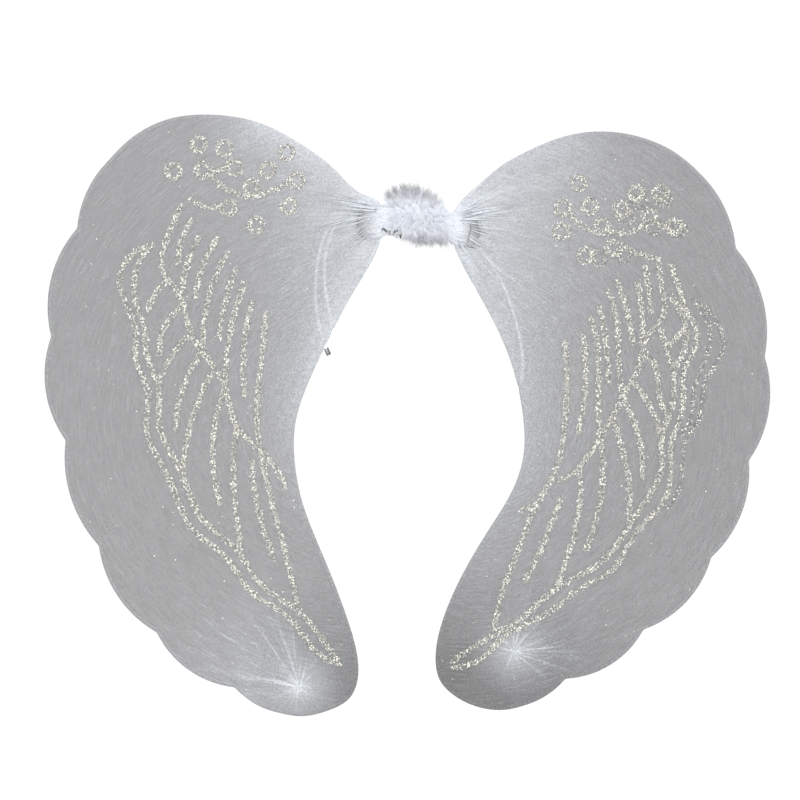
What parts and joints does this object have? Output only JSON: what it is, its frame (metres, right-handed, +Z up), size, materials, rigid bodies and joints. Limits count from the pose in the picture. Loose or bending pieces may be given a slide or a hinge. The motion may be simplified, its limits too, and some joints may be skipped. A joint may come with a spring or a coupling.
{
  "type": "fairy wings",
  "caption": "Child's costume wings: scalloped wire frames under sheer white nylon, glitter-glue feathers, a feather puff at the hub and elastic arm loops.",
  "frame": {"origin": "centre of the hub on the plane of the wings, where the arm loops hold the wings to the wearer's back", "axes": "+X towards the right wing seen from the decorated face, +Z up, +Y towards the wearer"},
  "size_m": [0.5025, 0.0669, 0.4167],
  "materials": {
    "wire": "satin",
    "nylon": "satin",
    "gathered_nylon": "satin",
    "thread": "matte",
    "tape": "matte",
    "feather": "matte",
    "elastic": "matte",
    "glitter": "gloss"
  },
  "bodies": {
    "hub": {"binding_tape": "tape", "marabou_cord": "thread", "marabou_plume": "feather", "left_elastic_knot": "elastic", "right_elastic_knot": "elastic", "left_elastic_loop": "elastic", "right_elastic_loop": "elastic"},
    "left_root": {"left_root_twist": "wire"},
    "left_wing": {"left_frame_wire": "wire", "left_stocking": "nylon", "left_neck_gather": "gathered_nylon", "left_neck_tie": "thread", "left_tip_tuft": "gathered_nylon", "left_tip_tie": "thread", "left_glitter_feathers": "glitter", "left_glitter_rings": "glitter"},
    "right_root": {"right_root_twist": "wire"},
    "right_wing": {"right_frame_wire": "wire", "right_stocking": "nylon", "right_neck_gather": "gathered_nylon", "right_neck_tie": "thread", "right_tip_tuft": "gathered_nylon", "right_tip_tie": "thread", "right_glitter_feathers": "glitter", "right_glitter_rings": "glitter", "right_soaked_glitter": "glitter"}
  },
  "joints": [
    {"name": "left_fold", "type": "hinge", "parent": "hub", "child": "left_root", "pos_m": [-0.012, 0, 0.003], "axis": [0, 0, 1], "range_deg": [-10, 75]},
    {"name": "left_tilt", "type": "hinge", "parent": "left_root", "child": "left_wing", "pos_m": [-0.015, 0, 0.003], "axis": [0, 1, 0], "range_deg": [-3, 12]},
    {"name": "right_fold", "type": "hinge", "parent": "hub", "child": "right_root", "pos_m": [0.012, 0, -0.002], "axis": [0, 0, -1], "range_deg": [-10, 75]},
    {"name": "right_tilt", "type": "hinge", "parent": "right_root", "child": "right_wing", "pos_m": [0.015, 0, -0.002], "axis": [0, -1, 0], "range_deg": [-3, 12]}
  ]
}
